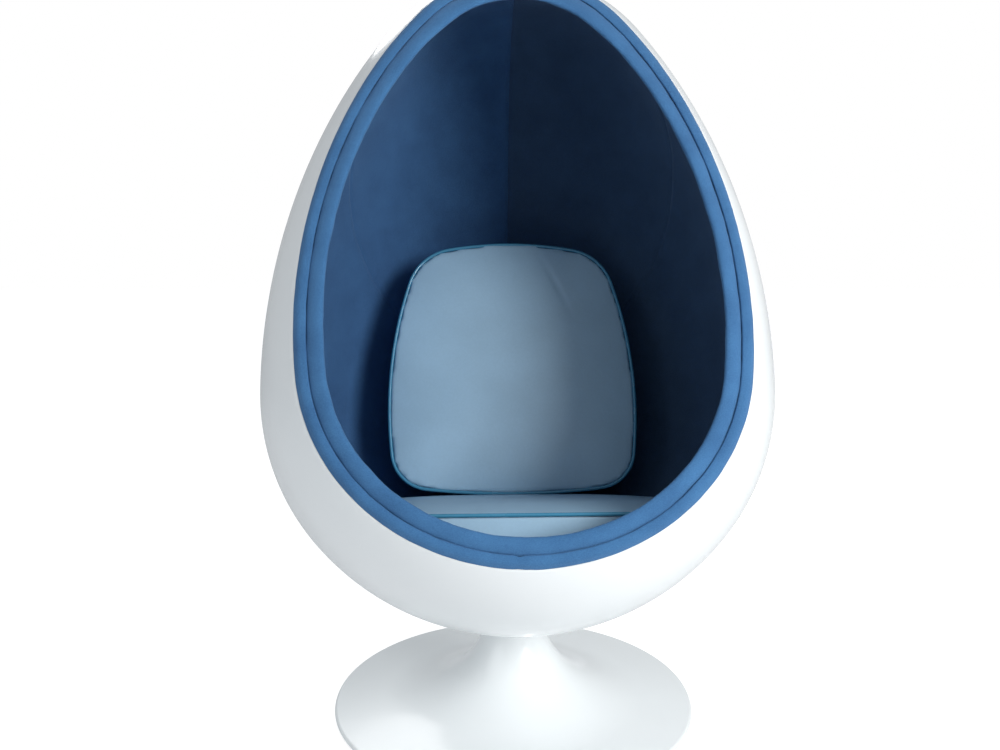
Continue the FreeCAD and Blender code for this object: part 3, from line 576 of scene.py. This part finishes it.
def back_outline(grow=0.0):
    """Rounded trapezoid, wider below, from arcs that meet without a kink."""
    low, low_round = np.array([0.152, 0.079]), 0.070
    top, top_round = np.array([0.101, 0.376]), 0.094
    height, side_round = 0.479, 0.794
    low_arc = (low @ low - low_round**2) / (2 * (low[1] - low_round))
    shoulder = height - top[1]
    top_arc = (top[0] ** 2 + shoulder**2 - top_round**2) / (2 * (shoulder - top_round))
    span = top - low
    far = math.hypot(*span)
    low_reach, top_reach = side_round - low_round, side_round - top_round
    run = (low_reach**2 - top_reach**2 + far**2) / (2 * far)
    fall = math.sqrt(low_reach**2 - run**2)
    side = low + (run * span + fall * np.array([-span[1], span[0]])) / far

    def towards(a, b):
        return math.degrees(math.atan2(b[1] - a[1], b[0] - a[0]))

    foot, crest = np.array([0, low_arc]), np.array([0, height - top_arc])
    first, second = towards(foot, low), towards(side, low)
    third, fourth = towards(side, top), towards(crest, top)
    half = np.vstack([
        bend(foot, low_arc + grow, -90, first, 20),
        bend(low, low_round + grow, first, second, 20),
        bend(side, side_round + grow, second, third, 20),
        bend(top, top_round + grow, third, fourth, 20),
        bend(crest, top_arc + grow, fourth, 90, 20),
    ])
    return evenly(mirrored(half), 200)


print("back outline", np.ptp(back_outline(), axis=0).round(4))

# %% Cushion forms


def crowned(outline, centre, height, lift, shares):
    """Rows from the middle of a panel to its edge, domed by a height."""
    rows = []
    for share in shares:
        flat = centre + (outline - centre) * share
        up = lift + height * (1 - share**4)
        rows.append(np.column_stack([flat, np.full(len(flat), up)]))
    return rows


SHARES = (0, 0.12, 0.25, 0.38, 0.5, 0.62, 0.72, 0.81, 0.89, 0.95, 0.985, 1)


def boxed_form(name, matrix, front, sides, rear, centre, crowns):
    """Closed form from its front panel, the strip's rows and its rear panel."""
    rows = crowned(front[0], centre, crowns[0], front[1], SHARES)
    for outline, lift in sides:
        rows.append(np.column_stack([outline, np.full(len(outline), lift)]))
    rows += crowned(rear[0], centre, crowns[1], rear[1], SHARES)[::-1]
    place = np.stack(rows)
    flat = carried(matrix, place.reshape(-1, 3)).reshape(place.shape)
    return ball_form(name, len(rows) - 1, flat.shape[1], flat)


PRESSURE = 4.0
LAST_FRAME = 20
EVEN_MESH = 0.007
SEAM_REACH = 0.006


def blow_up(obj, held, cap):
    """Swell a closed cover like a filled cushion, with its seams held."""
    finish_with(obj, "REMESH", mode="VOXEL", voxel_size=EVEN_MESH)
    rest = points_of(obj)
    group = obj.vertex_groups.new(name="held")
    for index, weight in enumerate(held(rest)):
        if weight > 0.01:
            group.add([index], float(weight), "REPLACE")
    cloth = obj.modifiers.new("cloth", "CLOTH")
    cloth.settings.quality = 5
    cloth.settings.use_pressure = True
    cloth.settings.uniform_pressure_force = PRESSURE
    cloth.settings.effector_weights.gravity = 0
    cloth.settings.vertex_group_mass = group.name
    for step in range(1, LAST_FRAME + 1):
        bpy.context.scene.frame_set(step)
    graph = bpy.context.evaluated_depsgraph_get()
    blown = points_of(obj.evaluated_get(graph))
    obj.modifiers.remove(cloth)
    move = blown - rest
    length = np.linalg.norm(move, axis=1, keepdims=True)
    set_points(obj, rest + move * np.minimum(1, cap / np.maximum(length, 1e-9)))
    print(obj.name, "moved up to", float(length.max().round(4)))
    bpy.context.scene.frame_set(1)
    finish_with(obj, "SUBSURF", levels=1, render_levels=1)
    return obj


def distance_to(line, points):
    """Shortest way from each point to a closed line."""
    best = np.full(len(points), 9.0)
    for start in range(0, len(line), 20):
        step = line[start:start + 20]
        gap = np.linalg.norm(points[:, None, :] - step[None], axis=2).min(1)
        best = np.minimum(best, gap)
    return best


def lay_cord(name, matrix, outline, lift, radius):
    """Round cord along an outline, flat in its plane."""
    ahead = np.roll(outline, -1, 0) - np.roll(outline, 1, 0)
    ahead /= np.linalg.norm(ahead, axis=1, keepdims=True)
    out = np.column_stack([ahead[:, 1], -ahead[:, 0], 0 * ahead[:, 0]])
    middle = np.column_stack([outline, np.full(len(outline), lift)])
    turn = np.arange(12) * AROUND / 12
    up = np.array([0, 0, 1.0])
    place = (middle[:, None] + radius * (np.cos(turn)[None, :, None] * out[:, None]
             + np.sin(turn)[None, :, None] * up))
    flat = carried(matrix, place.reshape(-1, 3)).reshape(place.shape)
    return smooth(ring_form(name, flat), 60)


# %% [markdown]
# ### Seat cushion
# It fills the bowl from side to side. Its front is straight and its boxing
# leans in below. Nothing pushes on it, so its top is slightly domed.

# %% Seat cushion
SEAT_CENTRE = np.array([0, 0.230])
SEAT_RADIUS = 0.328
SEAT_THICK = 0.085
SEAT_CROWN = 0.012
CORD = 0.003
seat_top = seat_outline(SEAT_RADIUS, 0.0)
seat_middle = seat_outline(0.298, 0.004)
seat_bottom = seat_outline(0.250, 0.008)
half = SEAT_THICK / 2
between = [(seat_top * (1 - t) + seat_middle * t, -half * t) for t in (0.25, 0.6)]
below = [(seat_middle * (1 - t) + seat_bottom * t, -half - half * t) for t in (0, 0.4, 0.75)]
seat_cushion = boxed_form("seat_cushion", SEAT, (seat_top, 0.0), between + below,
                          (seat_bottom, -SEAT_THICK), SEAT_CENTRE, (0.009, 0.0))
seam_top = carried(SEAT, np.column_stack([seat_top, 0 * seat_top[:, 0]]))
seam_bottom = carried(SEAT, np.column_stack([seat_bottom, 0 * seat_bottom[:, 0] - SEAT_THICK]))


def hold_seat(points):
    near = np.minimum(distance_to(seam_top, points), distance_to(seam_bottom, points))
    local = carried(SEAT.inverted(), points)
    return np.maximum(np.clip(1.6 - near / SEAM_REACH, 0, 1), local[:, 2] < -0.082)


blow_up(seat_cushion, hold_seat, 0.008)
local = carried(SEAT.inverted(), points_of(seat_cushion))


def seat_share(flat):
    """How far out a point of the seat lies: 0 in the middle and 1 at the edge."""
    turn = np.arctan2(*(flat - SEAT_CENTRE).T)
    edge = seat_top - SEAT_CENTRE
    edge_turn = np.arctan2(*edge.T)
    order = np.argsort(edge_turn)
    reach = np.interp(turn, edge_turn[order], np.hypot(*edge[order].T), period=AROUND)
    return np.hypot(*(flat - SEAT_CENTRE).T) / reach


def seat_height(flat):
    """Height of the seat's domed top."""
    return SEAT_CROWN * (1 - np.minimum(seat_share(flat), 1) ** 4)


top = local[:, 2] > -0.02
local[top, 2] = np.minimum(local[top, 2], seat_height(local[top, :2]) + 0.0008)
set_points(seat_cushion, carried(SEAT, local))
smooth(seat_cushion, 60)
seat_cord = lay_cord("seat_cord", SEAT, seat_outline(SEAT_RADIUS, 0.0, 0.0012), -0.0018, CORD)
for obj in (seat_cushion, seat_cord):
    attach(obj, "seat_cushion")
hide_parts("seat_foam", "seat_cover_top", "seat_cover_border", "seat_cover_base")
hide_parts("seat_piping")
print("seat cushion faces", len(seat_cushion.data.polygons))

# %% [markdown]
# ### Back cushion
# It leans in the hollow of the pod and stands on the seat cushion, where its
# foot is pressed flat. Its front is well domed and its piped edge is tight.

# %% Back cushion
BACK_CENTRE = np.array([0, 0.2395])
BACK_THICK = 0.120
back_front = back_outline()
back_rear = back_outline(-0.008)
back_side = back_outline(-0.006)
strip = [(back_front * 0.5 + back_side * 0.5, -0.02), (back_side, -0.05), (back_side, -0.07),
         (back_side * 0.5 + back_rear * 0.5, -0.1)]
back_cushion = boxed_form("back_cushion", BACK, (back_front, 0.0), strip,
                          (back_rear, -BACK_THICK), BACK_CENTRE, (0.017, -0.006))
seam_front = carried(BACK, np.column_stack([back_front, 0 * back_front[:, 0]]))
seam_rear = carried(BACK, np.column_stack([back_rear, 0 * back_rear[:, 0] - BACK_THICK]))


def hold_back(points):
    near = np.minimum(distance_to(seam_front, points), distance_to(seam_rear, points))
    return np.clip(1.6 - near / SEAM_REACH, 0, 1)


blow_up(back_cushion, hold_back, 0.007)


def stand_on_seat(obj, clear):
    """Press a piece flat where it would sink into the seat cushion."""
    local = carried(SEAT.inverted(), points_of(obj))
    over = seat_share(local[:, :2]) < 1.03
    floor = seat_height(local[:, :2]) + clear
    local[:, 2] = np.where(over, np.maximum(local[:, 2], floor), local[:, 2])
    set_points(obj, carried(SEAT, local))


stand_on_seat(back_cushion, 0.0014)

# %% [markdown]
# A tight cover still pulls a shallow fold towards a corner. It is pressed in
# along a short line near the upper right, and fades out at both ends.

# %% Fold in the cover
local = carried(BACK.inverted(), points_of(back_cushion))
FOLD_MIDDLE, FOLD_LONG, FOLD_WIDE, FOLD_DEEP = [0.085, 0.395], 0.045, 0.006, 0.0022
along = np.array([0.42, -0.91])
way = local[:, :2] - FOLD_MIDDLE
run, off = way @ along, way @ [along[1], -along[0]]
fold = np.exp(-(off / FOLD_WIDE) ** 2 - (run / FOLD_LONG) ** 2) * (local[:, 2] > 0)
local[:, 2] -= FOLD_DEEP * fold
set_points(back_cushion, carried(BACK, local))
smooth(back_cushion, 60)
back_cord = lay_cord("back_cord", BACK, back_outline(0.0010), -0.0022, CORD)
stand_on_seat(back_cord, 0.0012)
for obj in (back_cushion, back_cord):
    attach(obj, "back_cushion")
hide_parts("back_foam", "back_cover_front", "back_cover_border",
            "back_cover_rear")
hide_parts("back_piping")
print("back cushion faces", len(back_cushion.data.polygons))

# %% [markdown]
# ## Finishes
# Each finish is mixed from noise in the piece's own coordinates, so it is the
# same size everywhere and stays put when the piece moves. A small helper adds
# nodes and links them, and each finish then says only what is its own.

# %% Material tools


class Finish:
    """A material with its shader, and helpers to hang textures on it."""

    def __init__(self, name, color, rough, **shader):
        self.material = bpy.data.materials.new(name)
        self.material.use_nodes = True
        self.tree = self.material.node_tree
        self.shader = self.tree.nodes["Principled BSDF"]
        self.shader.inputs["Base Color"].default_value = (*color, 1)
        self.shader.inputs["Roughness"].default_value = rough
        for socket, value in shader.items():
            self.shader.inputs[socket.replace("_", " ")].default_value = value
        self.place = self.add("ShaderNodeTexCoord").outputs["Object"]

    def add(self, kind, **settings):
        node = self.tree.nodes.new(kind)
        for name, value in settings.items():
            setattr(node, name, value)
        return node

    def link(self, out, socket):
        self.tree.links.new(out, socket)

    def noise(self, scale, detail=2.0, rough=0.5, stretch=None):
        node = self.add("ShaderNodeTexNoise")
        place = self.place
        if stretch:
            mapping = self.add("ShaderNodeMapping")
            mapping.inputs["Scale"].default_value = stretch
            self.link(place, mapping.inputs["Vector"])
            place = mapping.outputs["Vector"]
        self.link(place, node.inputs["Vector"])
        node.inputs["Scale"].default_value = scale
        node.inputs["Detail"].default_value = detail
        node.inputs["Roughness"].default_value = rough
        return node.outputs["Fac"]

    def spread(self, value, low, high, start=0.3, end=0.7):
        """Turn a texture's value into a number between low and high."""
        node = self.add("ShaderNodeMapRange")
        self.link(value, node.inputs["Value"])
        for name, number in (("From Min", start), ("From Max", end),
                             ("To Min", low), ("To Max", high)):
            node.inputs[name].default_value = number
        return node.outputs["Result"]

    def maths(self, how, a, b):
        node = self.add("ShaderNodeMath", operation=how)
        for socket, value in zip(node.inputs, (a, b)):
            if isinstance(value, (int, float)):
                socket.default_value = value
            else:
                self.link(value, socket)
        return node.outputs["Value"]

    def ramp(self, value, stops):
        """Colour along a texture's value, from (place, colour) stops."""
        node = self.add("ShaderNodeValToRGB")
        self.link(value, node.inputs["Fac"])
        while len(node.color_ramp.elements) < len(stops):
            node.color_ramp.elements.new(0.5)
        for element, (place, color) in zip(node.color_ramp.elements, stops):
            element.position = place
            element.color = (*color, 1)
        return node.outputs["Color"]

    def color(self, out):
        self.link(out, self.shader.inputs["Base Color"])

    def rough(self, out):
        self.link(out, self.shader.inputs["Roughness"])

    def bumps(self, *layers):
        """Stack bump layers, each (height, depth in metres)."""
        last = None
        for height, depth in layers:
            node = self.add("ShaderNodeBump")
            node.inputs["Distance"].default_value = depth
            self.link(height, node.inputs["Height"])
            if last:
                self.link(last, node.inputs["Normal"])
            last = node.outputs["Normal"]
        self.link(last, self.shader.inputs["Normal"])

    def on(self, *objects):
        for obj in objects:
            obj.data.materials.clear()
            obj.data.materials.append(self.material)
        return self


def shade(color, factor):
    return tuple(min(1, c * factor) for c in color)


# %% [markdown]
# ### White gelcoat
# The mould leaves a deep, even gloss. A faint, slow ripple and a gloss that
# varies a little keep the highlights from looking like glass.

# %% Gelcoat
WHITE = (0.84, 0.875, 0.885)
gelcoat = Finish("polished_gelcoat", WHITE, 0.24, Coat_Weight=0.35, Coat_Roughness=0.12)
gelcoat.color(gelcoat.ramp(gelcoat.noise(3.0, 3), [(0.3, shade(WHITE, 0.985)),
                                                   (0.7, shade(WHITE, 1.01))]))
gelcoat.rough(gelcoat.spread(gelcoat.noise(5, 2), 0.21, 0.27))
gelcoat.bumps((gelcoat.noise(14, 1), 0.0002))
gelcoat.on(shell, foot)

# %% [markdown]
# ### Wool felt
# The lining and the rim wear the same blue wool. It has a fine fleck, soft
# cloudy patches and a light fuzz that brightens at a grazing angle. The lining
# is given a darker copy of the rim's colour, which is painted shade inside the
# pod. The panels on the right are darker again: partly their nap, which lies
# the other way, and partly painted shade on the right wall.

# %% Felt


def wool(name, dark, light):
    felt = Finish(name, light, 0.92, Sheen_Weight=0.35, Sheen_Roughness=0.45,
                  Sheen_Tint=(0.35, 0.55, 0.85, 1))
    fleck = felt.noise(1500, 2, 0.7)
    thread = felt.noise(420, 3, 0.6, stretch=(1, 1, 2.2))
    cloud = felt.noise(14, 3, 0.6)
    mixed = felt.maths("ADD", felt.maths("MULTIPLY", fleck, 0.35),
                       felt.maths("ADD", felt.maths("MULTIPLY", thread, 0.35),
                                  felt.maths("MULTIPLY", cloud, 0.3)))
    felt.color(felt.ramp(mixed, [(0.34, dark), (0.5, tuple((a + b) / 2 for a, b in
                                                          zip(dark, light))), (0.66, light)]))
    felt.bumps((thread, 0.0006), (fleck, 0.0003))
    return felt


# Lining felt: a darker copy of the rim wool, painted shade inside the pod.
lining_wool_painted_shade = wool("wool_lining_painted_shade", (0.015, 0.060, 0.160), (0.040, 0.128, 0.285))
# Right panels: darker again, partly from their nap and partly painted shade on the right wall.
right_wool_nap_and_painted_shade = wool("wool_right_nap_and_painted_shade", (0.014, 0.042, 0.096), (0.036, 0.086, 0.172))
rim_nap = wool("wool_rim", (0.020, 0.090, 0.225), (0.054, 0.185, 0.390))
lining_wool_painted_shade.on(felts["lining_upper_left"], felts["lining_lower_left"], seat_base)
right_wool_nap_and_painted_shade.on(felts["lining_upper_right"], felts["lining_lower_right"])
rim_nap.on(band, roll)

# %% [markdown]
# ### Coated fabric
# The cushions wear a smooth pale blue coated fabric with a satin gloss. Close
# up it has a fine pebble grain. The cord is the same stuff, pulled tight and
# shinier; its much darker colour is painted shade along the piped seam.

# %% Cushion cover


def coated(name, color, rough, depth):
    cover = Finish(name, color, rough, Specular_IOR_Level=0.5, Coat_Weight=0.12,
                   Coat_Roughness=0.3)
    pebble = cover.add("ShaderNodeTexVoronoi", feature="DISTANCE_TO_EDGE")
    cover.link(cover.place, pebble.inputs["Vector"])
    pebble.inputs["Scale"].default_value = 700
    cloud = cover.noise(9, 3)
    fine = cover.noise(240, 2)
    cover.color(cover.ramp(cover.maths("ADD", cover.maths("MULTIPLY", cloud, 0.7),
                                       cover.maths("MULTIPLY", fine, 0.3)),
                           [(0.35, shade(color, 0.94)), (0.65, shade(color, 1.04))]))
    cover.rough(cover.spread(cloud, rough - 0.05, rough + 0.06))
    cover.bumps((cover.noise(30, 2), 0.0006), (pebble.outputs["Distance"], depth))
    return cover


cushion_cover = coated("coated_fabric", (0.340, 0.530, 0.690), 0.42, 0.0001)
cushion_cover.on(seat_cushion, back_cushion)
# The cord's colour is far darker than the cover's: painted shade along the piped seam.
cord_cover_painted_shade = coated("coated_cord_painted_shade", (0.050, 0.235, 0.385), 0.25, 0.00005)
cord_cover_painted_shade.on(seat_cord, back_cord)

# %% [markdown]
# ### Metal, rubber and board under the pod
# The swivel and its fastenings are hidden, but they show when the chair is
# turned over or its cushions are out. Zinc plate is slightly cloudy, powder
# coat is pebbled, rubber is matt, and the bushes are milky plastic.

# %% Hidden hardware
zinc = Finish("zinc_plate", (0.62, 0.63, 0.64), 0.34, Metallic=1.0)
zinc.rough(zinc.spread(zinc.noise(60, 4), 0.24, 0.44))
zinc.bumps((zinc.noise(700, 2), 0.00003))
powder = Finish("powder_coat", (0.045, 0.046, 0.05), 0.5)
powder.rough(powder.spread(powder.noise(90, 3), 0.42, 0.58))
powder.bumps((powder.noise(1300, 2), 0.00008))
rubber = Finish("pad_rubber", (0.028, 0.028, 0.03), 0.8)
rubber.rough(rubber.spread(rubber.noise(40, 3), 0.7, 0.9))
rubber.bumps((rubber.noise(800, 3), 0.0001))
plastic = Finish("milky_plastic", (0.74, 0.73, 0.68), 0.4, Subsurface_Weight=0.1)
plastic.rough(plastic.spread(plastic.noise(80, 2), 0.34, 0.48))
plastic.bumps((plastic.noise(500, 2), 0.00003))
board = Finish("birch_board", (0.60, 0.44, 0.27), 0.6)
grain = board.noise(18, 4, 0.6, stretch=(1, 14, 40))
board.color(board.ramp(grain, [(0.3, (0.42, 0.28, 0.15)), (0.7, (0.66, 0.50, 0.32))]))
board.bumps((grain, 0.0002))
trim = Finish("trim_profile", (0.035, 0.036, 0.04), 0.55)
trim.rough(trim.spread(trim.noise(120, 2), 0.5, 0.65))
trim.bumps((trim.noise(600, 2), 0.00005))

SLOT_FINISH = {"white_gelcoat": gelcoat, "foot_rubber": rubber, "weight_plate": powder,
               "zinc_steel": zinc, "bearing_polymer": plastic, "plywood": board,
               "carrier_polymer": trim}
for part in frame["record"]["subparts"]:
    node = frame["nodes"][part["node"]]
    if not node.hide_render and part["material_slot"] in SLOT_FINISH:
        SLOT_FINISH[part["material_slot"]].on(node)
print("finishes", sorted(m.name for m in bpy.data.materials))

# %% [markdown]
# ## Studio
# The chair was photographed in soft light against white. The floor and the
# sky show as white to the camera, but light the chair at a plain level. One
# lamp stands ahead on the right, so the right wall of the pod shades itself.
# A weak broad one stands on the left and another one behind.

# %% Floor and world
bpy.ops.mesh.primitive_grid_add(x_subdivisions=8, y_subdivisions=8, size=14,
                                location=(0, 0, -0.0005))
floor = name_new("floor")
pale = Finish("pale_floor", (0.86, 0.87, 0.88), 0.55)
pale.rough(pale.spread(pale.noise(3, 3), 0.5, 0.62))
mix = pale.add("ShaderNodeMixShader")
glow = pale.add("ShaderNodeEmission")
path = pale.add("ShaderNodeLightPath")
seen_share = pale.maths("MULTIPLY", path.outputs["Is Camera Ray"], 0.6)
pale.link(seen_share, mix.inputs["Fac"])
pale.link(pale.shader.outputs["BSDF"], mix.inputs[1])
pale.link(glow.outputs["Emission"], mix.inputs[2])
glow.inputs["Strength"].default_value = 1.45
pale.link(mix.outputs["Shader"], pale.tree.nodes["Material Output"].inputs["Surface"])
pale.on(floor)

world = bpy.data.worlds.new("studio")
bpy.context.scene.world = world
world.use_nodes = True
nodes = world.node_tree.nodes
background = nodes["Background"]
background.inputs["Color"].default_value = (0.93, 0.96, 1.0, 1)
background.inputs["Strength"].default_value = 0.44
seen = nodes.new("ShaderNodeBackground")
seen.inputs["Color"].default_value = (1, 1, 1, 1)
seen.inputs["Strength"].default_value = 1.0
path = nodes.new("ShaderNodeLightPath")
mix = nodes.new("ShaderNodeMixShader")
links = world.node_tree.links
links.new(path.outputs["Is Camera Ray"], mix.inputs["Fac"])
links.new(background.outputs["Background"], mix.inputs[1])
links.new(seen.outputs["Background"], mix.inputs[2])
links.new(mix.outputs["Shader"], nodes["World Output"].inputs["Surface"])

# %% Lamps


def lamp(name, place, target, size, power, color):
    bpy.ops.object.light_add(type="AREA", location=place)
    obj = bpy.context.object
    obj.name = name
    obj.data.shape = "DISK"
    obj.data.size = size
    obj.data.energy = power
    obj.data.color = color
    aim = Vector(target) - Vector(place)
    obj.rotation_euler = aim.to_track_quat("-Z", "Y").to_euler()
    return obj


lamp("key", (1.9, -2.35, 1.75), (0, -0.1, 0.65), 1.3, 84, (1.0, 0.99, 0.98))
lamp("fill", (-2.4, -1.6, 1.5), (0, 0, 0.6), 2.0, 12, (0.94, 0.97, 1.0))
lamp("rear", (-0.4, 2.4, 2.4), (0, 0, 0.8), 1.6, 16, (1, 1, 1))

# %% [markdown]
# ## Camera
# Height, distance, turn and lens come from fitting the chair's outline to the
# photograph. The small shift stands for how the photograph was framed.

# %% Camera
CAMERA_TURN = 0.050
CAMERA_DIP = 0.1962
CAMERA_AWAY = 1.8426
CAMERA_ROLL = 0.00496
bpy.ops.object.camera_add(location=(-CAMERA_AWAY * math.sin(CAMERA_TURN),
                                    -CAMERA_AWAY * math.cos(CAMERA_TURN), 0.9835))
camera = bpy.context.object
camera.name = "camera"
turned = (Matrix.Rotation(-CAMERA_TURN, 3, "Z")
          @ Matrix.Rotation(math.pi / 2 - CAMERA_DIP, 3, "X")
          @ Matrix.Rotation(CAMERA_ROLL, 3, "Z"))
camera.rotation_euler = turned.to_euler()
camera.data.sensor_width = 36
camera.data.lens = 36 * 1.0549
camera.data.shift_x = -0.01486
camera.data.shift_y = 0.00502
bpy.context.scene.camera = camera
bpy.context.scene.view_settings.view_transform = "Standard"
